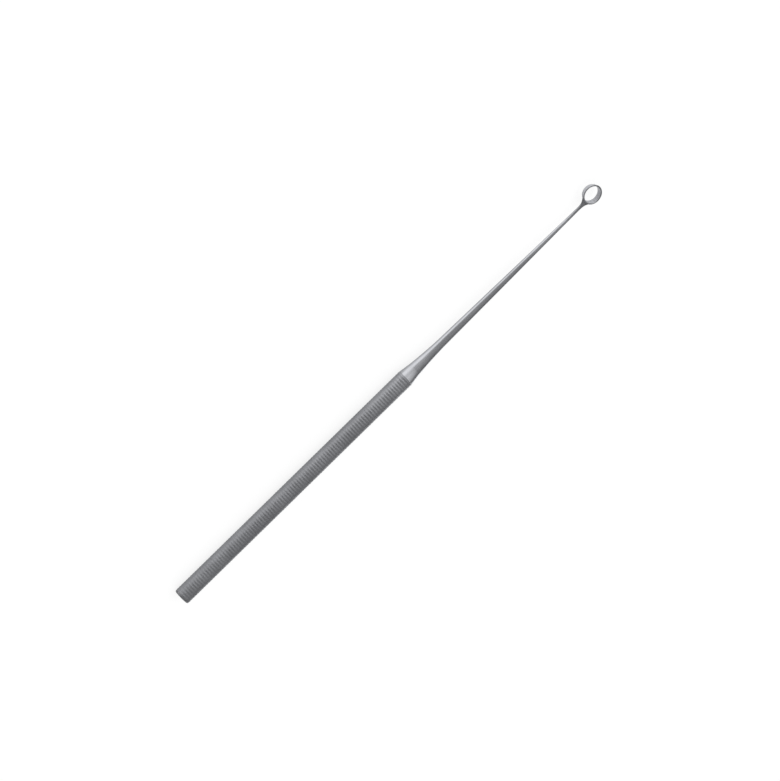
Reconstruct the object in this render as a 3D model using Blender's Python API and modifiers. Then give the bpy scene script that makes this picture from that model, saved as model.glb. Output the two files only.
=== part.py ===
"""A dermal curette: a ribbed handle tube, its end plug, a tapered shaft and a cutting ring.

Lengths are in metres and +Z is up. The tool lies along X on the plane z = 0, with its butt
at -X and its ring at +X. The origin is on that plane, below the middle of the tool.
Every radius of a piece on the tool's axis is measured to its flats, so a handle that rests
on a flat is as high as its diameter.
"""

import math

import bpy
from mathutils import Matrix

# Handle tube, ribbed all along its outside
HANDLE_RADIUS = 0.00255
RIB_COUNT = 100
RIB_PITCH = 0.000878
GROOVE_DEPTH = 0.00006
TUBE_WALL = 0.00099
HANDLE_SIDES = 20

# End plug: a smooth rim behind the ribs and a spigot in the tube
RIM_LENGTH = 0.00044
RIM_SET_BACK = 0.00007
RIM_CHAMFER = 0.00022
SPIGOT_LENGTH = 0.006

# Shaft: a tang in the tube, a neck that flares from its mouth with a low shoulder, a long taper
TANG_LENGTH = 0.012
COLLAR_SET_BACK = 0.00002
COLLAR_CHAMFER = 0.00006
SHOULDER_LENGTH = 0.003
SHOULDER_RISE = 0.00016
SHOULDER_STEPS = 3
NECK_LENGTH = 0.0152
NECK_END_RADIUS = 0.0013
NECK_FLARE_POWER = 1.55
NECK_STEPS = 9
SHANK_LENGTH = 0.0554
SHANK_TIP_RADIUS = 0.00045

# Fork: the end of the shaft, flattened and spread round the outside of the ring
FORK_LENGTH = 0.0028
FORK_HALF_WIDTH = 0.0016
FORK_THICKNESS = 0.00065
FORK_SPREAD_POWER = 2.8
FORK_SQUARENESS = 3.2
FORK_STEPS = 8
PRONG_TIP = 0.00016

# Cutting ring: a conical band with its wide rim up and its ground edge down
RING_RADIUS = 0.00305
RIM_WALL = 0.00042
RIM_BREAK = 0.00006
RING_HEIGHT = 0.00165
EDGE_RADIUS = 0.00252
BAND_WALL = 0.00017
EDGE_LAND = 0.00005
BEVEL_HEIGHT = 0.0004
RIM_RISE = 0.00005
RING_SIDES = 48

# Fits: the lead that eases a spigot in, the gap that solder fills, and how far a cutter overruns
LEAD_CHAMFER = 0.0003
SOLDER_GAP = 0.00003
CUT_OVERRUN = 0.0005

# Points of a turned outline closer than this become one, which closes the seam
SEAM_WELD = 0.000001
SMOOTH_ANGLE = math.radians(30)

# Sizes that follow from the ones above
ROOT_RADIUS = HANDLE_RADIUS - GROOVE_DEPTH
BORE_RADIUS = ROOT_RADIUS - TUBE_WALL
FIT_RADIUS = BORE_RADIUS - SOLDER_GAP
TUBE_LENGTH = RIB_COUNT * RIB_PITCH
SHAFT_REACH = NECK_LENGTH + SHANK_LENGTH
TOOL_LENGTH = RIM_LENGTH + SOLDER_GAP + TUBE_LENGTH + SOLDER_GAP + SHAFT_REACH + 2 * RING_RADIUS

# Places along the tool and above the plane that it rests on
AXIS_HEIGHT = HANDLE_RADIUS
PLUG_SEAT_X = RIM_LENGTH - TOOL_LENGTH / 2
TUBE_X = PLUG_SEAT_X + SOLDER_GAP
SHAFT_SEAT_X = TUBE_X + TUBE_LENGTH + SOLDER_GAP
RING_X = SHAFT_SEAT_X + SHAFT_REACH + RING_RADIUS


def clear_scene():
    """Remove every object that the file opens with."""
    for obj in list(bpy.data.objects):
        bpy.data.objects.remove(obj, do_unlink=True)


def new_collection(name):
    """A collection in the scene, for the pieces or for the cutters."""
    made = bpy.data.collections.new(name)
    bpy.context.scene.collection.children.link(made)
    return made


def steel(name, grey, roughness):
    """A stainless steel finish as a Principled material."""
    material = bpy.data.materials.new(name)
    material.use_nodes = True
    shader = material.node_tree.nodes["Principled BSDF"]
    shader.inputs["Base Color"].default_value = (grey, grey, grey, 1.0)
    shader.inputs["Metallic"].default_value = 1.0
    shader.inputs["Roughness"].default_value = roughness
    material.diffuse_color = (grey, grey, grey, 1.0)
    return material


def turned_mesh(name, outline, sides, closed=False):
    """The mesh that an outline of (radius, height) points makes when it is turned round Z."""
    sketch = bpy.data.meshes.new(name)
    last = len(outline) - 1
    edges = [(i, i + 1) for i in range(last)]
    if closed:
        edges.append((last, 0))
    sketch.from_pydata([(radius, 0.0, height) for radius, height in outline], edges, [])
    lathe = bpy.data.objects.new(name, sketch)
    bpy.context.scene.collection.objects.link(lathe)
    turn = lathe.modifiers.new("Turn", "SCREW")
    turn.axis = "Z"
    turn.angle = math.tau
    turn.steps = sides
    turn.render_steps = sides
    turn.use_merge_vertices = True
    turn.merge_threshold = SEAM_WELD
    graph = bpy.context.evaluated_depsgraph_get()
    mesh = bpy.data.meshes.new_from_object(lathe.evaluated_get(graph))
    bpy.data.objects.remove(lathe, do_unlink=True)
    bpy.data.meshes.remove(sketch)
    mesh.name = name
    return mesh


def shade(mesh):
    """Smooth round surfaces, with the turned corners kept sharp."""
    mesh.shade_smooth()
    mesh.set_sharp_from_angle(angle=SMOOTH_ANGLE)


def axis_mesh(name, outline, closed=False):
    """A piece turned on the tool's axis, as a mesh along X whose flats face down, up and aside."""
    to_flats = 1.0 / math.cos(math.pi / HANDLE_SIDES)
    corners = [(radius * to_flats, height) for radius, height in outline]
    mesh = turned_mesh(name, corners, HANDLE_SIDES, closed)
    half_facet = Matrix.Rotation(math.pi / HANDLE_SIDES, 4, "Z")
    lay_down = Matrix.Rotation(math.pi / 2, 4, "Y")
    mesh.transform(lay_down @ half_facet)
    return mesh


def piece(mesh, material, collection, location):
    """One named sub-part with its own material."""
    obj = bpy.data.objects.new(mesh.name, mesh)
    mesh.materials.clear()
    mesh.materials.append(material)
    shade(mesh)
    collection.objects.link(obj)
    obj.location = location
    return obj


def tube_outline():
    """Ribs down the outside from the mouth to the butt, and the bore back up."""
    points = [(ROOT_RADIUS, TUBE_LENGTH)]
    for rib in reversed(range(RIB_COUNT)):
        groove = rib * RIB_PITCH
        points.append((HANDLE_RADIUS, groove + RIB_PITCH / 2))
        points.append((ROOT_RADIUS, groove))
    points.append((BORE_RADIUS, 0.0))
    points.append((BORE_RADIUS, TUBE_LENGTH))
    return points


def make_handle_tube(collection):
    """The ribbed tube, open at both ends."""
    mesh = axis_mesh("handle_tube", tube_outline(), closed=True)
    return piece(mesh, steel("satin_steel", 0.43, 0.45), collection, (TUBE_X, 0.0, AXIS_HEIGHT))


def plug_outline():
    """The spigot from its nose back to the seat, then the rim and its chamfer."""
    rim_radius = HANDLE_RADIUS - RIM_SET_BACK
    return [
        (0.0, SPIGOT_LENGTH),
        (FIT_RADIUS - LEAD_CHAMFER, SPIGOT_LENGTH),
        (FIT_RADIUS, SPIGOT_LENGTH - LEAD_CHAMFER),
        (FIT_RADIUS, 0.0),
        (rim_radius, 0.0),
        (rim_radius, RIM_CHAMFER - RIM_LENGTH),
        (rim_radius - RIM_CHAMFER, -RIM_LENGTH),
        (0.0, -RIM_LENGTH),
    ]


def make_butt_plug(collection):
    """The plug that closes the tube behind the ribs."""
    mesh = axis_mesh("butt_plug", plug_outline())
    location = (PLUG_SEAT_X, 0.0, AXIS_HEIGHT)
    return piece(mesh, steel("turned_steel", 0.36, 0.34), collection, location)


def fork_end_height():
    """How far the prongs reach from the seat: to where the spread outline meets the ring."""
    bite = FORK_HALF_WIDTH - PRONG_TIP
    return SHAFT_REACH + RING_RADIUS - math.sqrt(RING_RADIUS**2 - bite**2)


def fork_start_height():
    """Where the round shank ends and the fork begins."""
    return SHAFT_REACH - FORK_LENGTH


def neck_radius(height):
    """The radius at a height above the seat: a flare, with a low shoulder at its root."""
    root = HANDLE_RADIUS - COLLAR_SET_BACK - SHOULDER_RISE
    flare = (root - NECK_END_RADIUS) * (1.0 - height / NECK_LENGTH) ** NECK_FLARE_POWER
    shoulder = SHOULDER_RISE * max(1.0 - height / SHOULDER_LENGTH, 0.0)
    return NECK_END_RADIUS + flare + shoulder


def neck_outline():
    """The neck from its thin end back to the seat, with the seat's broken edge."""
    points = []
    for step in reversed(range(NECK_STEPS + 1)):
        height = SHOULDER_LENGTH + (NECK_LENGTH - SHOULDER_LENGTH) * step / NECK_STEPS
        points.append((neck_radius(height), height))
    for step in reversed(range(SHOULDER_STEPS)):
        height = COLLAR_CHAMFER + (SHOULDER_LENGTH - COLLAR_CHAMFER) * step / SHOULDER_STEPS
        points.append((neck_radius(height), height))
    points.append((neck_radius(0.0) - COLLAR_CHAMFER, 0.0))
    return points


def shaft_outline():
    """The whole shaft before its end is forged, from the tip back to the tang's end."""
    start = fork_start_height()
    end = fork_end_height()
    points = [(0.0, end)]
    for step in reversed(range(FORK_STEPS + 1)):
        points.append((SHANK_TIP_RADIUS, start + (end - start) * step / FORK_STEPS))
    points += neck_outline()
    points.append((FIT_RADIUS, 0.0))
    points.append((FIT_RADIUS, LEAD_CHAMFER - TANG_LENGTH))
    points.append((FIT_RADIUS - LEAD_CHAMFER, -TANG_LENGTH))
    points.append((0.0, -TANG_LENGTH))
    return points


def squared(value, squareness):
    """A coordinate of the unit circle moved out towards a rounded rectangle."""
    return math.copysign(abs(value) ** (2.0 / squareness), value)


def forge_fork(mesh):
    """Flatten and spread the round end into the fork, with its top level with the ring's rim."""
    start = fork_start_height()
    length = fork_end_height() - start
    corner = SHANK_TIP_RADIUS / math.cos(math.pi / HANDLE_SIDES)
    drop = RIM_RISE - FORK_THICKNESS / 2
    for vertex in mesh.vertices:
        along = (vertex.co.x - start) / length
        if along <= 0.0:
            continue
        spread = along**FORK_SPREAD_POWER
        squareness = 2.0 + (FORK_SQUARENESS - 2.0) * along
        half_width = corner + (FORK_HALF_WIDTH - corner) * spread
        half_thickness = corner + (FORK_THICKNESS / 2 - corner) * along
        across = squared(vertex.co.y / corner, squareness)
        above = squared(vertex.co.z / corner, squareness)
        vertex.co.y = half_width * across
        vertex.co.z = drop * spread + half_thickness * above


def ring_slope():
    """How much the outside of the band narrows for each metre down."""
    return (RING_RADIUS - EDGE_RADIUS - BAND_WALL) / RING_HEIGHT


def ring_outline():
    """The band's section: the blunt wide rim, the outer cone, the ground bevel and the inner cone."""
    bevel_top = BEVEL_HEIGHT - RING_HEIGHT
    bevel_radius = RING_RADIUS + ring_slope() * bevel_top
    return [
        (RING_RADIUS - RIM_BREAK, 0.0),
        (RING_RADIUS, -RIM_BREAK),
        (bevel_radius, bevel_top),
        (EDGE_RADIUS + EDGE_LAND, -RING_HEIGHT),
        (EDGE_RADIUS, -RING_HEIGHT),
        (RING_RADIUS - RIM_WALL, -RIM_BREAK),
        (RING_RADIUS - RIM_WALL + RIM_BREAK, 0.0),
    ]


def make_cutting_ring(collection):
    """The conical band, turned on its own upright axis."""
    mesh = turned_mesh("cutting_ring", ring_outline(), RING_SIDES, closed=True)
    location = (RING_X, 0.0, AXIS_HEIGHT + RIM_RISE)
    return piece(mesh, steel("honed_steel", 0.68, 0.26), collection, location)


def make_saddle_cutter(collection):
    """The ring's outer cone with the solder gap round it, which hollows the fork's saddle."""
    bottom = -RING_HEIGHT - CUT_OVERRUN
    seat_radius = RING_RADIUS + SOLDER_GAP
    outline = [
        (0.0, CUT_OVERRUN),
        (seat_radius + ring_slope() * CUT_OVERRUN, CUT_OVERRUN),
        (seat_radius + ring_slope() * bottom, bottom),
        (0.0, bottom),
    ]
    mesh = turned_mesh("saddle_cutter", outline, RING_SIDES)
    cutter = bpy.data.objects.new(mesh.name, mesh)
    collection.objects.link(cutter)
    cutter.location = (RING_X, 0.0, AXIS_HEIGHT + RIM_RISE)
    cutter.hide_render = True
    cutter.display_type = "WIRE"
    return cutter


def make_shaft(collection, cutter):
    """The turned shaft with its forged fork, hollowed to hold the ring."""
    mesh = axis_mesh("shaft", shaft_outline())
    forge_fork(mesh)
    location = (SHAFT_SEAT_X, 0.0, AXIS_HEIGHT)
    obj = piece(mesh, steel("polished_steel", 0.65, 0.22), collection, location)
    saddle = obj.modifiers.new("Saddle", "BOOLEAN")
    saddle.operation = "DIFFERENCE"
    saddle.solver = "EXACT"
    saddle.object = cutter
    return obj


def main():
    clear_scene()
    pieces = new_collection("dermal_curette")
    cutters = new_collection("cutters")
    make_handle_tube(pieces)
    make_butt_plug(pieces)
    make_cutting_ring(pieces)
    make_shaft(pieces, make_saddle_cutter(cutters))
    bpy.context.view_layer.update()


main()
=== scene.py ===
# %% [markdown]
# # A dermal curette, dressed for a studio photograph
#
# The tool is four pieces of stainless steel: a ribbed handle tube, a plug that closes its butt,
# a long tapered shaft and a small conical cutting ring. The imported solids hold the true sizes,
# with few flats. This lesson turns each piece again with a fine surface, gives it its steel
# finish, and then sets up the floor, the light and the camera.

import math

import bpy
from mathutils import Matrix, Vector


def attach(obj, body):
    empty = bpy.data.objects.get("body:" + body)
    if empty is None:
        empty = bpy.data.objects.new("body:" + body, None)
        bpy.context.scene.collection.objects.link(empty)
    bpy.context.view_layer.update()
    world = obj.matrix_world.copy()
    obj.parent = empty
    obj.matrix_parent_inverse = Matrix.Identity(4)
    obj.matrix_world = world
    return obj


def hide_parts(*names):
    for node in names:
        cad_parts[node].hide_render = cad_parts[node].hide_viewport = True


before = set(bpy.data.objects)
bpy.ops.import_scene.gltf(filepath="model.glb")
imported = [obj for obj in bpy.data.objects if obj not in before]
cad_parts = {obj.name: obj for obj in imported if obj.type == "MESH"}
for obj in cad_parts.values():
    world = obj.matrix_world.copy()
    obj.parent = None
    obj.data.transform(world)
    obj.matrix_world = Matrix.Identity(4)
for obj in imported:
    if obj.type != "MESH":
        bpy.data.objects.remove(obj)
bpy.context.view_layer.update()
print("packed pieces:", ", ".join(sorted(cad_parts)))

# %% [markdown]
# ## Lengths in millimetres
#
# Every length here is in metres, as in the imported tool. A tool this small is measured in
# millimetres, so a helper turns the lengths that are printed into those. Blender's units could
# be set to millimetres instead, but that only changes what its panels show.

# %% Lengths in millimetres
MM_PER_METRE = 1000


def in_mm(length):
    """A length in millimetres, rounded for printing."""
    return round(MM_PER_METRE * length, 3)


# %% [markdown]
# ## Sizes
#
# The tool lies along X with its butt at -X, and rests on the plane z = 0. Its handle is 5.1 mm
# thick and its ring 6.1 mm wide. The sizes could be measured on the solids, but their names make
# the lesson easier to read. They are the solids' own, apart from a softer shoulder on the neck,
# so each fine piece lies where its plain one does.

# %% Sizes of the tool
HANDLE_RADIUS = 0.00255
AXIS_HEIGHT = HANDLE_RADIUS
RIB_COUNT = 100
RIB_PITCH = 0.000878
GROOVE_DEPTH = 0.00006
BORE_RADIUS = 0.0015
RIM_LENGTH = 0.00044
SOLDER_GAP = 0.00003
TUBE_LENGTH = RIB_COUNT * RIB_PITCH
NECK_LENGTH = 0.0152
SHANK_LENGTH = 0.0554
SHAFT_REACH = NECK_LENGTH + SHANK_LENGTH
RING_RADIUS = 0.00305
TOOL_LENGTH = RIM_LENGTH + TUBE_LENGTH + SHAFT_REACH + 2 * SOLDER_GAP + 2 * RING_RADIUS
PLUG_SEAT_X = RIM_LENGTH - TOOL_LENGTH / 2
TUBE_X = PLUG_SEAT_X + SOLDER_GAP
SHAFT_SEAT_X = TUBE_X + TUBE_LENGTH + SOLDER_GAP
RING_X = SHAFT_SEAT_X + SHAFT_REACH + RING_RADIUS
print("tool length, mm:", in_mm(TOOL_LENGTH))

# %% [markdown]
# ## A lathe
#
# Every piece of this tool is turned, so one helper makes them all. It takes an outline of
# (radius, height) points and turns it round Z with a Screw modifier, as a lathe would. The same
# could be done with Spin on a mesh in Edit Mode, but a Screw modifier takes its outline as it
# is and closes the seam by itself.

# %% The lathe
SEAM_WELD = 0.0000005


def turned_mesh(name, outline, sides, closed=False):
    """The mesh that an outline of (radius, height) points makes when it is turned round Z."""
    sketch = bpy.data.meshes.new(name)
    last = len(outline) - 1
    edges = [(i, i + 1) for i in range(last)]
    if closed:
        edges.append((last, 0))
    sketch.from_pydata([(radius, 0.0, height) for radius, height in outline], edges, [])
    lathe = bpy.data.objects.new(name, sketch)
    bpy.context.scene.collection.objects.link(lathe)
    turn = lathe.modifiers.new("Turn", "SCREW")
    turn.axis = "Z"
    turn.angle = math.tau
    turn.steps = sides
    turn.render_steps = sides
    turn.use_merge_vertices = True
    turn.merge_threshold = SEAM_WELD
    graph = bpy.context.evaluated_depsgraph_get()
    mesh = bpy.data.meshes.new_from_object(lathe.evaluated_get(graph))
    bpy.data.objects.remove(lathe)
    bpy.data.meshes.remove(sketch)
    mesh.name = name
    return mesh


LAY_DOWN = Matrix.Rotation(math.pi / 2, 4, "Y")
print("the lathe turns round Z, and LAY_DOWN lays its work along X")

# %% [markdown]
# ## Putting a piece in place
#
# A fine piece stands for one solid of the imported tool, rides on its body and takes the finish
# it is given. Smooth shading hides the flats, and edges sharper than a set angle stay crisp, as
# they are on turned steel. They could be marked by hand in Edit Mode, but an angle finds them
# all.

# %% Placing and shading
CRISP_ANGLE = math.radians(38)


def place_piece(name, mesh, node, finish, location):
    """A fine piece at its seat on the tool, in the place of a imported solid."""
    piece = bpy.data.objects.new(name, mesh)
    bpy.context.scene.collection.objects.link(piece)
    mesh.materials.clear()
    mesh.materials.append(finish.owner)
    mesh.shade_smooth()
    mesh.set_sharp_from_angle(angle=CRISP_ANGLE)
    piece.location = location
    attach(piece, "root")
    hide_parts(node)
    print(name, "has", len(mesh.polygons), "faces")


print("edges sharper than", round(math.degrees(CRISP_ANGLE)), "degrees stay crisp")

# %% [markdown]
# ## A bench for nodes
#
# The steel, the floor and the sky are all made of nodes. They could be joined by hand in the
# Shader Editor. A script spends several lines on each node, so a small helper class takes that
# over. It adds a node, and it feeds an input with a number, a colour or another node's output.

# %% A bench for nodes
class Bench:
    """A material or a world, with short calls that add and feed its nodes."""

    def __init__(self, owner, shader):
        owner.use_nodes = True
        self.owner = owner
        self.tree = owner.node_tree
        self.shader = self.tree.nodes[shader]

    def node(self, kind, **settings):
        """A new node with some of its settings made."""
        made = self.tree.nodes.new(kind)
        for key, value in settings.items():
            setattr(made, key, value)
        return made

    def feed(self, target, source):
        """Join another node's output to an input, or give it a number or a colour."""
        if isinstance(source, bpy.types.NodeSocket):
            self.tree.links.new(source, target)
        else:
            target.default_value = source


print("a bench holds one material or world while its nodes are joined")

# %% [markdown]
# ## Laying a value out
#
# Many values of a finish follow another one, as roughness follows the scratches. Map Range does
# that: its result goes from one number to another while its source crosses two bounds, and stays
# level outside them. A colour ramp could do the same, but its source has to end at 1.

# %% Laying a value out
RANGE_ENDS = ("From Min", "From Max", "To Min", "To Max")


def laid_out(bench, source, bounds, results, **settings):
    """A value that goes from one result to the other between two bounds of its source."""
    made = bench.node("ShaderNodeMapRange", **settings)
    bench.feed(made.inputs["Value"], source)
    for end, number in zip(RANGE_ENDS, (*bounds, *results)):
        bench.feed(made.inputs[end], number)
    return made.outputs["Result"]


print("Map Range is told", ", ".join(RANGE_ENDS))

# %% [markdown]
# ## Scratches and clouds
#
# A lathe leaves fine scratches round a piece, and a polishing belt leaves them along it. They
# show as slight changes in roughness and as a faint relief. Handling adds soft cloudy marks. A
# photograph of steel could be wrapped on as an image, but noise does it at any scale and needs
# no file. Noise is even in all directions, so its place is scaled by a large number across the
# scratches and by a small one along them, which draws it out into lines. It mostly stays
# between 0.3 and 0.7, and a second helper lays that part of it out between any two values.

# %% Scratches and clouds
NOISE_BOUNDS = (0.3, 0.7)
NOISE_SCALE = 1.0


def scratches(bench, stretch, detail):
    """Noise on the piece's own coordinates, stretched by a number for each axis."""
    place = bench.node("ShaderNodeTexCoord")
    scaled = bench.node("ShaderNodeMapping")
    noise = bench.node("ShaderNodeTexNoise")
    bench.feed(scaled.inputs["Vector"], place.outputs["Object"])
    bench.feed(scaled.inputs["Scale"], stretch)
    bench.feed(noise.inputs["Vector"], scaled.outputs["Vector"])
    bench.feed(noise.inputs["Scale"], NOISE_SCALE)
    bench.feed(noise.inputs["Detail"], detail)
    return noise.outputs["Fac"]


def spread(bench, noise, results):
    """A noise value from its usual bounds laid out between two results."""
    return laid_out(bench, noise, NOISE_BOUNDS, results)


print("noise from", NOISE_BOUNDS[0], "to", NOISE_BOUNDS[1], "is laid out between two values")

# %% [markdown]
# ## Working out a value
#
# A Math node works on single numbers, and a Vector Math node on three at once, which suits a
# colour. One helper feeds either kind. A second one gives the X, Y and Z of each point, so that
# a value can follow the place on the tool. A script could paint such values on the points of a
# mesh too, but nodes need no fine mesh.

# %% Working out a value
NUMBERS = "ShaderNodeMath"
VECTORS = "ShaderNodeVectorMath"


def worked_out(bench, operation, *sources, kind=NUMBERS):
    """What one operation makes of numbers or of other nodes' outputs."""
    made = bench.node(kind, operation=operation)
    for target, source in zip(made.inputs, sources):
        bench.feed(target, source)
    return made.outputs[0]


def place_parts(bench, kind="Object"):
    """The X, Y and Z of each point, in one kind of coordinates."""
    place = bench.node("ShaderNodeTexCoord")
    split = bench.node("ShaderNodeSeparateXYZ")
    bench.feed(split.inputs["Vector"], place.outputs[kind])
    return split.outputs


print("numbers go to", NUMBERS, "and colours to", VECTORS)

# %% [markdown]
# ## A finish that changes along a piece
#
# The tool's roughness isn't the same from end to end, and its colour is painted lighter and
# darker along it, as painted sheen and painted shade. Two materials on one piece would meet at a
# line, so a value fades instead. A fade says where along the piece's own X it starts and ends,
# and how much it adds by then: to the colour as a share of it, and to the roughness as a number.

# %% Fading along a piece
def faded(bench, source, fade, operation, first):
    """A value that is changed more and more between two places along the piece."""
    start, end, added = fade
    change = laid_out(bench, place_parts(bench)["X"], (start, end), (first, first + added))
    return worked_out(bench, operation, source, change, kind=VECTORS)


print("a fade has a start, an end and what it adds by then")

# %% [markdown]
# ## The colour of steel
#
# Steel is a metal with a nearly neutral grey, very slightly blue. The clouds and the scratches
# are mixed, and a colour ramp turns the mix into greys a share darker and lighter than the
# finish's own. One flat colour would look like plastic.

# %% The colour of steel
STEEL_TINT = (0.985, 1.0, 1.05)
CLOUD_STRETCH = (220.0, 220.0, 220.0)
CLOUD_DETAIL = 4.0
SCRATCH_SHARE = 0.4


def steel_colour(bench, marks, grey, swing):
    """A grey that swings by a share with the clouds and the scratches."""
    clouds = scratches(bench, CLOUD_STRETCH, CLOUD_DETAIL)
    mixed = bench.node("ShaderNodeMix")
    bench.feed(mixed.inputs["Factor"], SCRATCH_SHARE)
    bench.feed(mixed.inputs["A"], spread(bench, clouds, (0.0, 1.0)))
    bench.feed(mixed.inputs["B"], spread(bench, marks, (0.0, 1.0)))
    ramp = bench.node("ShaderNodeValToRGB")
    for stop, level in zip(ramp.color_ramp.elements, (1.0 - swing, 1.0 + swing)):
        stop.color = (*[grey * level * part for part in STEEL_TINT], 1.0)
    bench.feed(ramp.inputs["Fac"], mixed.outputs["Result"])
    return ramp.outputs["Color"]


print("steel tint:", STEEL_TINT)

# %% [markdown]
# ## The steel finish
#
# One function makes every finish of the tool. The scratches alone set the roughness and the
# relief, because clouds of handling lie on steel without changing its surface. The scratches
# could be cut into the mesh, but they are far finer than its faces, so a Bump node shades them.

# %% The steel finish
SCRATCH_DETAIL = 2.0
SCRATCH_DEPTH = 0.00001


def steel_finish(name, grey, swing, rough, lines, relief, painted_light_fades=(), rough_fades=()):
    """Stainless steel: a grey that swings by a share, two ends of roughness and scratches."""
    bench = Bench(bpy.data.materials.new(name), "Principled BSDF")
    surface = bench.shader.inputs
    surface["Metallic"].default_value = 1.0
    marks = scratches(bench, lines, SCRATCH_DETAIL)
    colour = steel_colour(bench, marks, grey, swing)
    # painted sheen and painted shade: these fades make the colour lighter or darker along the
    # piece
    for fade in painted_light_fades:
        colour = faded(bench, colour, fade, "MULTIPLY", 1.0)
    bench.feed(surface["Base Color"], colour)
    roughness = spread(bench, marks, rough)
    for fade in rough_fades:
        roughness = faded(bench, roughness, fade, "ADD", 0.0)
    bench.feed(surface["Roughness"], roughness)
    bump = bench.node("ShaderNodeBump")
    bench.feed(bump.inputs["Strength"], relief)
    bench.feed(bump.inputs["Distance"], SCRATCH_DEPTH)
    bench.feed(bump.inputs["Height"], marks)
    bench.feed(surface["Normal"], bump.outputs["Normal"])
    return bench


print("scratch depth, mm:", in_mm(SCRATCH_DEPTH))

# %% [markdown]
# ## The handle's and the plug's finish
#
# Both are turned, with lathe lines round them, so their noise is squeezed most along X. The
# handle is satin. Fingers have polished it more and more towards the shaft, and its last two
# centimetres are painted lighter, as a painted sheen. The plug is darker and a little smoother.

# %% The handle's and the plug's finish
TURNED_LINES = (9000.0, 300.0, 300.0)
# painted sheen: the handle's colour is made lighter towards its mouth
PAINTED_MOUTH_SHEEN = (0.068, 0.080, 0.10)
GRIP_POLISH = (0.0, TUBE_LENGTH, -0.10)

satin = steel_finish(
    "satin_handle_steel",
    grey=0.47,
    swing=0.15,
    rough=(0.54, 0.62),
    lines=TURNED_LINES,
    relief=0.2,
    painted_light_fades=[PAINTED_MOUTH_SHEEN],
    rough_fades=[GRIP_POLISH],
)
turned = steel_finish(
    "turned_plug_steel",
    grey=0.33,
    swing=0.12,
    rough=(0.34, 0.42),
    lines=TURNED_LINES,
    relief=0.2,
)
print("finishes:", satin.owner.name, turned.owner.name)

# %% [markdown]
# ## The shaft's finish
#
# A belt polished the shaft along its length, so its noise is squeezed across X instead. A
# stretch past the middle is painted a little darker, as painted shade, and the thin third after
# it lighter, as a painted sheen. The heat that soldered the ring in place left the end dull, and
# the end is painted dark there, as painted shade. Each of these is a fade.

# %% The shaft's finish
POLISHED_LINES = (150.0, 6000.0, 6000.0)
# painted shade, then a painted sheen: the shank's colour is darker past the middle and lighter on
# its thin third
PAINTED_SHANK_SHADE = (0.030, 0.035, -0.07)
PAINTED_SHANK_SHEEN = (0.044, 0.048, 0.18)
# painted shade: the end of the shaft by the ring is painted darker
PAINTED_END_SHADE = (0.0625, SHAFT_REACH, -0.60)
HEAT_DULLING = (0.056, SHAFT_REACH, 0.12)

polished = steel_finish(
    "polished_shaft_steel",
    grey=0.68,
    swing=0.14,
    rough=(0.15, 0.22),
    lines=POLISHED_LINES,
    relief=0.1,
    painted_light_fades=[PAINTED_SHANK_SHADE, PAINTED_SHANK_SHEEN, PAINTED_END_SHADE],
    rough_fades=[HEAT_DULLING],
)
print("finish:", polished.owner.name)

# %% [markdown]
# ## The ring's finish
#
# The ring is ground on its own upright axis, and its far side is painted a little darker, as
# painted shade. Its fine lines run round it, which stretches a reflection across them. Grooves in
# the mesh would do so
# too, at the cost of a great many faces. Anisotropic does it on any mesh, with its tangent
# turned round the ring's axis and then a quarter turn from the lines.

# %% The ring's finish
RING_LINES = (300.0, 300.0, 9000.0)
# painted shade: the ring's colour is darker on its far side
PAINTED_FAR_SHADE = (-0.002, 0.002, -0.20)
RING_STRETCH = 0.8
QUARTER_TURN = 0.25

honed = steel_finish(
    "honed_ring_steel",
    grey=0.66,
    swing=0.10,
    rough=(0.34, 0.42),
    lines=RING_LINES,
    relief=0.15,
    painted_light_fades=[PAINTED_FAR_SHADE],
)
tangent = honed.node("ShaderNodeTangent", direction_type="RADIAL", axis="Z")
honed.feed(honed.shader.inputs["Tangent"], tangent.outputs["Tangent"])
honed.shader.inputs["Anisotropic"].default_value = RING_STRETCH
honed.shader.inputs["Anisotropic Rotation"].default_value = QUARTER_TURN
print("finish:", honed.owner.name)

# %% [markdown]
# ## The ribbed handle tube
#
# A hundred shallow grooves run round the handle, one each 0.88 mm, so that wet gloves don't
# slip. A form tool cuts them, which leaves rounded crests with rounded valleys between. Here
# one wave of the outline is repeated along the tube and turned in one go. An Array of one rib
# would do too, but its rings would have to be welded afterwards.

# %% The ribbed handle tube
HANDLE_SIDES = 80
POINTS_PER_RIB = 8


def rib_outline():
    """The outside from the mouth back to the butt, then the bore."""
    points = []
    for step in reversed(range(RIB_COUNT * POINTS_PER_RIB + 1)):
        turn = math.tau * step / POINTS_PER_RIB
        depth = GROOVE_DEPTH * (0.5 + 0.5 * math.cos(turn))
        points.append((HANDLE_RADIUS - depth, step * RIB_PITCH / POINTS_PER_RIB))
    points.append((BORE_RADIUS, 0.0))
    points.append((BORE_RADIUS, TUBE_LENGTH))
    return points


tube_mesh = turned_mesh("handle_tube_fine", rib_outline(), HANDLE_SIDES, closed=True)
tube_mesh.transform(LAY_DOWN)
place_piece("handle_tube_fine", tube_mesh, "handle_tube", satin, (TUBE_X, 0.0, AXIS_HEIGHT))

# %% [markdown]
# ## The end plug
#
# A short plug closes the tube. Its spigot goes into the bore, and its rim shows as a smooth
# dark band behind the last rib, with a broken edge and a flat end. Eight points make its
# outline, which is quicker to write down than to draw.

# %% The end plug
RIM_SET_BACK = 0.00007
RIM_CHAMFER = 0.00022
SPIGOT_LENGTH = 0.006
FIT_RADIUS = BORE_RADIUS - SOLDER_GAP
LEAD_CHAMFER = 0.0003

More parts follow.
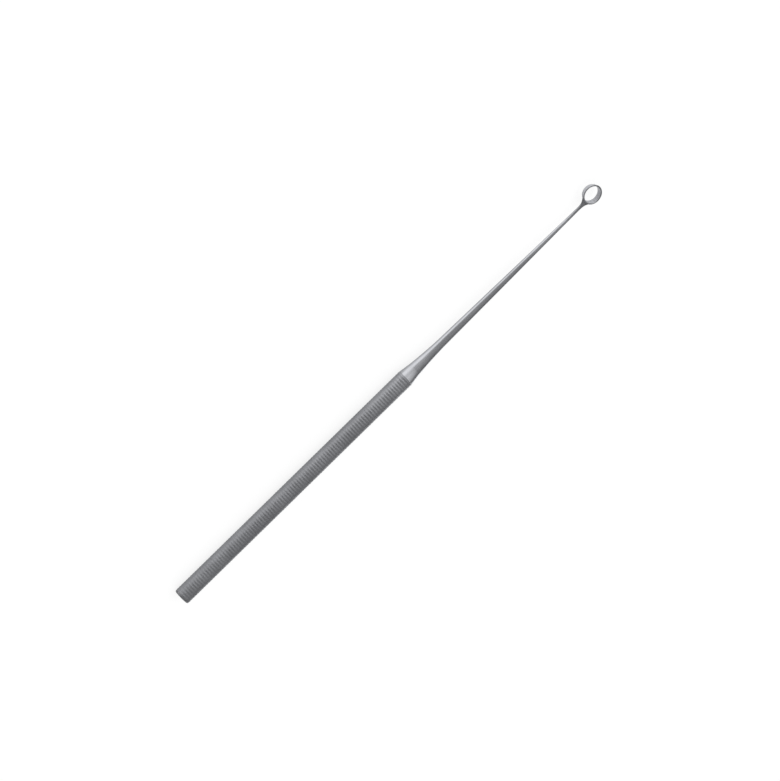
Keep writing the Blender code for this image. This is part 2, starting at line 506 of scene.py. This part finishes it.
rim_radius = HANDLE_RADIUS - RIM_SET_BACK
plug_outline = [
    (0.0, SPIGOT_LENGTH),
    (FIT_RADIUS - LEAD_CHAMFER, SPIGOT_LENGTH),
    (FIT_RADIUS, SPIGOT_LENGTH - LEAD_CHAMFER),
    (FIT_RADIUS, 0.0),
    (rim_radius, 0.0),
    (rim_radius, RIM_CHAMFER - RIM_LENGTH),
    (rim_radius - RIM_CHAMFER, -RIM_LENGTH),
    (0.0, -RIM_LENGTH),
]
plug_mesh = turned_mesh("butt_plug_fine", plug_outline, HANDLE_SIDES)
plug_mesh.transform(LAY_DOWN)
place_piece("butt_plug_fine", plug_mesh, "butt_plug", turned, (PLUG_SEAT_X, 0.0, AXIS_HEIGHT))

# %% [markdown]
# ## The neck
#
# One bar makes the whole shaft: a tang that sits in the tube, a neck that flares down from the
# tube's mouth, and a long taper with a fork at its end. The neck is a power curve with a low
# shoulder at its root. In the solid the shoulder runs straight over 3 mm. Here it fades out over
# 3.6 mm, so that no line shows where it ends. A Bezier curve would do, but a formula keeps the
# neck's two ends exactly where they belong.

# %% Outline of the neck
COLLAR_SET_BACK = 0.00002
COLLAR_CHAMFER = 0.00006
SHOULDER_LENGTH = 0.0036
SHOULDER_RISE = 0.00016
SHOULDER_POWER = 1.3
NECK_END_RADIUS = 0.0013
NECK_FLARE_POWER = 1.55
NECK_STEPS = 96


def neck_radius(height):
    """The radius at a height above the seat: a flare, with a low shoulder at its root."""
    root = HANDLE_RADIUS - COLLAR_SET_BACK - SHOULDER_RISE
    flare = (root - NECK_END_RADIUS) * (1.0 - height / NECK_LENGTH) ** NECK_FLARE_POWER
    shoulder = SHOULDER_RISE * max(1.0 - height / SHOULDER_LENGTH, 0.0) ** SHOULDER_POWER
    return NECK_END_RADIUS + flare + shoulder


def neck_outline():
    """The neck from its thin end back to the seat, with the seat's broken edge."""
    points = []
    for step in reversed(range(NECK_STEPS + 1)):
        height = COLLAR_CHAMFER + (NECK_LENGTH - COLLAR_CHAMFER) * step / NECK_STEPS
        points.append((neck_radius(height), height))
    points.append((neck_radius(0.0) - COLLAR_CHAMFER, 0.0))
    return points


print("neck radius at its root, mm:", in_mm(neck_radius(0.0)))

# %% [markdown]
# ## Turning the bar
#
# The bar is turned round first, with even rings where the fork will be. The same bar could be
# built with its fork at once, but a smith doesn't work so, and moving the points of a round end
# keeps its rings in order.

# %% Turning the bar
TANG_LENGTH = 0.012
SHANK_STEPS = 40
SHANK_TIP_RADIUS = 0.00045
FORK_LENGTH = 0.0028
FORK_HALF_WIDTH = 0.0016
FORK_STEPS = 32
PRONG_TIP = 0.00016
SHAFT_SIDES = 72

fork_start = SHAFT_REACH - FORK_LENGTH
bite = FORK_HALF_WIDTH - PRONG_TIP
fork_end = SHAFT_REACH + RING_RADIUS - math.sqrt(RING_RADIUS**2 - bite**2)


def shaft_outline():
    """The whole bar, from the tip back to the end of the tang."""
    points = [(0.0, fork_end)]
    for step in reversed(range(FORK_STEPS + 1)):
        height = fork_start + (fork_end - fork_start) * step / FORK_STEPS
        points.append((SHANK_TIP_RADIUS, height))
    for step in reversed(range(1, SHANK_STEPS)):
        along = step / SHANK_STEPS
        radius = NECK_END_RADIUS + (SHANK_TIP_RADIUS - NECK_END_RADIUS) * along
        points.append((radius, NECK_LENGTH + (fork_start - NECK_LENGTH) * along))
    points += neck_outline()
    points.append((FIT_RADIUS, 0.0))
    points.append((FIT_RADIUS, LEAD_CHAMFER - TANG_LENGTH))
    points.append((FIT_RADIUS - LEAD_CHAMFER, -TANG_LENGTH))
    points.append((0.0, -TANG_LENGTH))
    return points


shaft_mesh = turned_mesh("shaft_fine", shaft_outline(), SHAFT_SIDES)
shaft_mesh.transform(LAY_DOWN)
print("the bar reaches", in_mm(fork_end), "mm out of the tube")

# %% [markdown]
# ## Forging the fork
#
# A hammer spreads the end sideways and thins it, and its section goes from a circle to a
# rounded rectangle. A lattice could bend the end so, but moving the points by a rule keeps the
# fork's top exactly level with the ring's rim. The rule is a power curve: a power of 2 gives a
# circle, and a higher one squares it.

# %% Forging the fork
RIM_RISE = 0.00005
FORK_THICKNESS = 0.00065
FORK_SPREAD_POWER = 2.8
ROUND_POWER = 2.0
SQUARE_POWER = 3.2


def squared(value, power):
    """A coordinate of the unit circle moved out towards a rounded rectangle."""
    return math.copysign(abs(value) ** (ROUND_POWER / power), value)


def forge_fork(mesh):
    """Flatten and spread the round end, with its top level with the ring's rim."""
    drop = RIM_RISE - FORK_THICKNESS / 2
    for vertex in mesh.vertices:
        along = (vertex.co.x - fork_start) / (fork_end - fork_start)
        if along <= 0.0:
            continue
        width = along**FORK_SPREAD_POWER
        power = ROUND_POWER + (SQUARE_POWER - ROUND_POWER) * along
        half_width = SHANK_TIP_RADIUS + (FORK_HALF_WIDTH - SHANK_TIP_RADIUS) * width
        half_thick = SHANK_TIP_RADIUS + (FORK_THICKNESS / 2 - SHANK_TIP_RADIUS) * along
        across = squared(vertex.co.y / SHANK_TIP_RADIUS, power)
        above = squared(vertex.co.z / SHANK_TIP_RADIUS, power)
        vertex.co.y = half_width * across
        vertex.co.z = drop * width + half_thick * above


forge_fork(shaft_mesh)
widest = max(vertex.co.y for vertex in shaft_mesh.vertices if vertex.co.x > fork_start)
print("fork width, mm:", in_mm(2 * widest))

# %% [markdown]
# ## The saddle's cutter
#
# Fitting the ring takes the most skill in the whole tool. It sits in a hollow of its own shape,
# so the cutter is the ring's outer cone, larger by the gap that solder fills. A plain cylinder
# would be easier, but it would touch the band along one line only. The cutter stands out above
# and below the fork, so that it cuts right through.

# %% The saddle's cutter
RING_HEIGHT = 0.00165
EDGE_RADIUS = 0.00252
BAND_WALL = 0.00017
CUT_OVERRUN = 0.0005
RING_SIDES = 144

ring_slope = (RING_RADIUS - EDGE_RADIUS - BAND_WALL) / RING_HEIGHT


def saddle_cutter():
    """The ring's outer cone with the solder gap round it."""
    bottom = -RING_HEIGHT - CUT_OVERRUN
    seat = RING_RADIUS + SOLDER_GAP
    outline = [
        (0.0, CUT_OVERRUN),
        (seat + ring_slope * CUT_OVERRUN, CUT_OVERRUN),
        (seat + ring_slope * bottom, bottom),
        (0.0, bottom),
    ]
    mesh = turned_mesh("saddle_cutter", outline, RING_SIDES)
    mesh.transform(Matrix.Translation((SHAFT_REACH + RING_RADIUS, 0.0, RIM_RISE)))
    cutter = bpy.data.objects.new("saddle_cutter", mesh)
    bpy.context.scene.collection.objects.link(cutter)
    return cutter


print("the ring's cone narrows by", round(math.degrees(math.atan(ring_slope)), 1), "degrees")

# %% [markdown]
# ## Hollowing the saddle
#
# The hollow's points could be worked out one by one, but a Boolean difference needs only the
# cutter. The Exact solver is used, because it keeps the thin prong tips clean. Where the two
# seams cross it leaves points on top of each other, and a Weld modifier joins those.

# %% Hollowing the saddle
def hollowed(mesh):
    """The forged bar's mesh with the saddle cut out of its fork."""
    cutter = saddle_cutter()
    bar = bpy.data.objects.new("forged_bar", mesh)
    bpy.context.scene.collection.objects.link(bar)
    saddle = bar.modifiers.new("Saddle", "BOOLEAN")
    saddle.operation = "DIFFERENCE"
    saddle.solver = "EXACT"
    saddle.object = cutter
    weld = bar.modifiers.new("Weld", "WELD")
    weld.merge_threshold = SEAM_WELD
    graph = bpy.context.evaluated_depsgraph_get()
    cut = bpy.data.meshes.new_from_object(bar.evaluated_get(graph))
    cut.name = "shaft_fine"
    bpy.data.objects.remove(bar)
    bpy.data.objects.remove(cutter)
    return cut


shaft_mesh = hollowed(shaft_mesh)
place_piece("shaft_fine", shaft_mesh, "shaft", polished, (SHAFT_SEAT_X, 0.0, AXIS_HEIGHT))

# %% [markdown]
# ## The cutting ring
#
# The ring is a thin conical band. Its wide rim is blunt and looks up, and its narrow rim is
# ground to the edge that does the work. The section is one closed outline, with the rim's
# corners broken, turned on an upright axis. A cone with a Solidify modifier would be quicker,
# but it has no ground edge.

# %% The cutting ring
RIM_WALL = 0.00042
RIM_BREAK = 0.00006
EDGE_LAND = 0.00005
BEVEL_HEIGHT = 0.0004


def ring_outline():
    """The band's section: the blunt rim, the outer cone, the ground bevel and the inner cone."""
    bevel_top = BEVEL_HEIGHT - RING_HEIGHT
    return [
        (RING_RADIUS - RIM_BREAK, 0.0),
        (RING_RADIUS, -RIM_BREAK),
        (RING_RADIUS + ring_slope * bevel_top, bevel_top),
        (EDGE_RADIUS + EDGE_LAND, -RING_HEIGHT),
        (EDGE_RADIUS, -RING_HEIGHT),
        (RING_RADIUS - RIM_WALL, -RIM_BREAK),
        (RING_RADIUS - RIM_WALL + RIM_BREAK, 0.0),
    ]


ring_mesh = turned_mesh("cutting_ring_fine", ring_outline(), RING_SIDES, closed=True)
ring_place = (RING_X, 0.0, AXIS_HEIGHT + RIM_RISE)
place_piece("cutting_ring_fine", ring_mesh, "cutting_ring", honed, ring_place)

# %% [markdown]
# ## The floor as steel mirrors it
#
# The tool lies on a plain white floor, and steel mirrors the floor beside it. The tool itself
# keeps that part in half shade. Part of the floor's white will be its own light, which no shadow
# dims, so nodes dim it for reflections: from further out at the thick handle than at the thin
# shaft. The ring lets light through to the floor, so the shade lifts from the fork to the far
# side. The floor's own coordinates say how far a point of it is from the tool.

# %% The floor as steel mirrors it
FLOOR_GLOW = 0.80
SHADE_GLOW = 0.30
HANDLE_SHADE = 0.03
SHAFT_SHADE = 0.008
SHADE_BLEND = 0.003
END_LIGHT = 0.6


def floor_in_steel(bench):
    """The glow that reflections see: dim by the tool, full further out and past the ring."""
    place = place_parts(bench)
    aside = worked_out(bench, "ABSOLUTE", place["Y"])
    mouth = (SHAFT_SEAT_X - SHADE_BLEND, SHAFT_SEAT_X + SHADE_BLEND)
    reach = laid_out(bench, place["X"], mouth, (HANDLE_SHADE, SHAFT_SHADE))
    ring = (RING_X - RING_RADIUS, RING_X + RING_RADIUS)
    past_fork = laid_out(bench, place["X"], ring, (0.0, END_LIGHT))
    share = worked_out(bench, "ADD", worked_out(bench, "DIVIDE", aside, reach), past_fork)
    glow = (SHADE_GLOW, FLOOR_GLOW)
    return laid_out(bench, share, (0.0, 1.0), glow, interpolation_type="SMOOTHSTEP")


print("the floor beside the tool glows with", SHADE_GLOW, "to", FLOOR_GLOW, "in the steel")

# %% [markdown]
# ## The floor's glow
#
# Part of the floor's white is its own light, which only the camera, glass and the steel's
# reflections see, so it lights nothing. The rest is paint that the sky and the lamp light, and
# that part keeps the tool's soft shadow. More lamps could make the floor white too, but they
# would bleach the steel. Light Path tells the kinds of ray apart.

# %% The floor's glow
def floor_glow(bench):
    """The strength of the floor's own light for each kind of ray."""
    ray = bench.node("ShaderNodeLightPath").outputs
    seen = worked_out(bench, "MAXIMUM", ray["Is Camera Ray"], ray["Is Transmission Ray"])
    direct = worked_out(bench, "MULTIPLY", seen, FLOOR_GLOW)
    return worked_out(bench, "MULTIPLY_ADD", ray["Is Glossy Ray"], floor_in_steel(bench), direct)


print("the floor glows with", FLOOR_GLOW, "and the paint gives the rest of its white")

# %% [markdown]
# ## The floor itself
#
# A studio would use a curved sweep of paper. Here one large square is enough, because the camera
# looks down on it and never sees its edge. It is part of the stage and not of the tool.

# %% The floor
WHITE = (1.0, 1.0, 1.0, 1.0)
FLOOR_PAINT = (0.22, 0.22, 0.22, 1.0)
FLOOR_ROUGHNESS = 0.9
FLOOR_SHINE = 0.0
FLOOR_HALF = 4.0

corners = [(-FLOOR_HALF, -FLOOR_HALF), (FLOOR_HALF, -FLOOR_HALF)]
corners += [(FLOOR_HALF, FLOOR_HALF), (-FLOOR_HALF, FLOOR_HALF)]
floor_mesh = bpy.data.meshes.new("studio_floor")
floor_mesh.from_pydata([(x, y, 0.0) for x, y in corners], [], [(0, 1, 2, 3)])
floor = bpy.data.objects.new("studio_floor", floor_mesh)
bpy.context.scene.collection.objects.link(floor)
paint = Bench(bpy.data.materials.new("floor_paint"), "Principled BSDF")
surface = paint.shader.inputs
surface["Base Color"].default_value = FLOOR_PAINT
surface["Roughness"].default_value = FLOOR_ROUGHNESS
surface["Specular IOR Level"].default_value = FLOOR_SHINE
surface["Emission Color"].default_value = WHITE
paint.feed(surface["Emission Strength"], floor_glow(paint))
floor_mesh.materials.append(paint.owner)
print("floor:", 2 * FLOOR_HALF, "m square")

# %% [markdown]
# ## Studio light
#
# Steel shows what is round it, so most of the light is a sky that changes with direction.
# Across the tool it is dim overhead and darker behind, and it glows low down on the camera's
# side, which draws the bright line on the shaft. Along the tool it is brighter towards the
# ring, which lights the flanks of the ribs. Behind the tool that brightness shrinks to a narrow
# panel, so the ribs hardly show there, but the root of the neck, which faces the panel, still
# does. A picture of a studio could light the tool instead, but these levels can be changed one
# at a time. Each pair is a part of the direction, from -1 to 1, and the sky's level there.

# %% Levels of the sky
ACROSS_STOPS = (
    (-1.0, 0.15),
    (-0.7, 0.185),
    (-0.45, 0.235),
    (0.0, 0.265),
    (0.656, 0.27),
    (0.85, 0.295),
    (0.95, 0.39),
    (0.98, 0.60),
    (1.0, 1.15),
)
ALONG_STOPS = (
    (-1.0, 0.10),
    (-0.35, 0.225),
    (0.0, 0.31),
    (0.1, 0.36),
    (0.19, 0.53),
    (0.29, 0.76),
    (0.45, 0.95),
    (0.7, 1.7),
)
PANEL_STOPS = (
    (0.18, 0.0),
    (0.27, 0.87),
    (0.42, 0.87),
    (0.5, 0.0),
)
print("the sky has", len(ACROSS_STOPS), "levels across the tool and", len(ALONG_STOPS), "along it")

# %% [markdown]
# ## Ramps and shares of the sky
#
# A colour ramp holds the levels of one part of the direction. Each new stop is added halfway
# along the ramp and then moved to its place. The part that feeds a ramp is first scaled by a
# share that follows the other part: X is drawn in where the ray points behind the tool, and Y
# stays short of the glow where the ray points away from the ring.

# %% Ramps and shares of the sky
HALFWAY = 0.5

sky = Bench(bpy.data.worlds.new("studio_sky"), "Background")
bpy.context.scene.world = sky.owner


def sky_ramp(part, stops):
    """Grey levels laid out over one part of the sky's direction, from -1 to 1."""
    ramp = sky.node("ShaderNodeValToRGB")
    while len(ramp.color_ramp.elements) < len(stops):
        ramp.color_ramp.elements.new(HALFWAY)
    for stop, (place, level) in zip(ramp.color_ramp.elements, stops):
        stop.position = (place + 1.0) / 2.0
        stop.color = (level, level, level, 1.0)
    sky.feed(ramp.inputs["Fac"], laid_out(sky, part, (-1.0, 1.0), (0.0, 1.0)))
    return ramp.outputs["Color"]


def drawn_in(part, other, bounds, shares):
    """One part of the direction times a share that follows the other part."""
    return worked_out(sky, "MULTIPLY", part, laid_out(sky, other, bounds, shares))


print("world:", sky.owner.name)

# %% [markdown]
# ## The sky's nodes
#
# The direction of a ray comes from Generated in the world's coordinates. The levels along the
# tool and the panel's are laid over each other, made brighter by a gain, and multiplied by the
# levels across the tool. Light Path gives that product to reflections alone, and everything else
# is lit by plain white.

# %% The sky's nodes
ALONG_GAIN = (2.95, 2.95, 2.95)
LEAN_BOUNDS = (-0.4, 0.75)
LEAN_SHARES = (-0.3, 1.0)
GLOW_BOUNDS = (0.03, 0.10)
GLOW_SHARES = (0.94, 1.0)

ray = place_parts(sky, "Generated")
along_ramp = sky_ramp(drawn_in(ray["X"], ray["Y"], LEAN_BOUNDS, LEAN_SHARES), ALONG_STOPS)
across_ramp = sky_ramp(drawn_in(ray["Y"], ray["X"], GLOW_BOUNDS, GLOW_SHARES), ACROSS_STOPS)
panel_ramp = sky_ramp(ray["X"], PANEL_STOPS)
lighter = worked_out(sky, "MAXIMUM", along_ramp, panel_ramp, kind=VECTORS)
gained = worked_out(sky, "MULTIPLY", lighter, ALONG_GAIN, kind=VECTORS)
product = worked_out(sky, "MULTIPLY", gained, across_ramp, kind=VECTORS)
chosen = sky.node("ShaderNodeMix", data_type="RGBA")
sky.feed(chosen.inputs["Factor"], sky.node("ShaderNodeLightPath").outputs["Is Glossy Ray"])
sky.feed(chosen.inputs["A"], WHITE)
sky.feed(chosen.inputs["B"], product)
sky.feed(sky.shader.inputs["Color"], chosen.outputs["Result"])
print("the sky's tree has", len(sky.tree.nodes), "nodes")

# %% [markdown]
# ## A soft box
#
# One weak, wide area lamp stands above and beyond the ring. It gives the floor's shadow a
# direction and adds a soft shine, and it is out of the camera's sight. A sun lamp would throw a
# hard shadow that the photograph doesn't have.

# %% Soft box
def soft_lamp(name, direction, distance, width, height, watts):
    """A soft box that looks at the middle of the tool."""
    light = bpy.data.lights.new(name, "AREA")
    light.shape = "RECTANGLE"
    light.size = width
    light.size_y = height
    light.energy = watts
    lamp = bpy.data.objects.new(name, light)
    bpy.context.scene.collection.objects.link(lamp)
    outwards = Vector(direction).normalized()
    lamp.location = outwards * distance
    lamp.rotation_euler = outwards.to_track_quat("Z", "Y").to_euler()
    lamp.visible_camera = False
    return lamp


soft_box = soft_lamp(
    "soft_box",
    direction=(0.7, 0.1, 0.7),
    distance=1.0,
    width=0.9,
    height=0.9,
    watts=0.4,
)
print("lamp at, m:", [round(part, 2) for part in soft_box.location])

# %% [markdown]
# ## Camera
#
# The photograph looks down on the tool from 41 degrees off the vertical, with the tool
# climbing across the picture at 44 degrees. The camera's three axes are worked out from those
# two angles. A Track To constraint could aim it, but wouldn't set the climb.

# %% The camera's axes
LOOK_ASIDE = math.radians(41.0)
CLIMB = math.radians(44.38)

back = Vector((0.0, math.sin(LOOK_ASIDE), math.cos(LOOK_ASIDE)))
down_slope = Vector((0.0, -math.cos(LOOK_ASIDE), math.sin(LOOK_ASIDE)))
along = Vector((1.0, 0.0, 0.0))
right = along * math.cos(CLIMB) + down_slope * math.sin(CLIMB)
up = along * math.sin(CLIMB) - down_slope * math.cos(CLIMB)
print("the camera looks along", [round(-part, 3) for part in back])

# %% [markdown]
# ## Lens and place
#
# A long lens keeps the handle and the ring in proportion. Its length follows from how far the
# camera stands and how much of the tool one pixel covers, which was measured on the photograph.
# There the tool's axis passes about two pixels beside the picture's middle, as it does here.

# %% The lens and its place
CAMERA_DISTANCE = 0.9
PICTURE_HEIGHT = 781
PIXEL_SIZE = 0.0002814
PIXELS_ASIDE = 1.92
AXIS_OFFSET = PIXELS_ASIDE * PIXEL_SIZE
AIM_X = 0.00017
SENSOR = 36.0
LENS_NEAR = 0.01
LENS_FAR = 50.0

lens = bpy.data.cameras.new("studio_camera")
lens.sensor_width = SENSOR
lens.lens = SENSOR * CAMERA_DISTANCE / (PIXEL_SIZE * PICTURE_HEIGHT)
lens.clip_start = LENS_NEAR
lens.clip_end = LENS_FAR
camera = bpy.data.objects.new("studio_camera", lens)
bpy.context.scene.collection.objects.link(camera)
aim = Vector((AIM_X, 0.0, AXIS_HEIGHT)) - down_slope * AXIS_OFFSET
turn = Matrix((right, up, back)).transposed().to_4x4()
camera.matrix_world = Matrix.Translation(aim + back * CAMERA_DISTANCE) @ turn
bpy.context.scene.camera = camera
print("lens, mm:", round(lens.lens, 1))

# %% [markdown]
# ## Finish
#
# The picture is shown with plain Standard colours.

# %% Colours and the end
bpy.context.scene.view_settings.view_transform = "Standard"
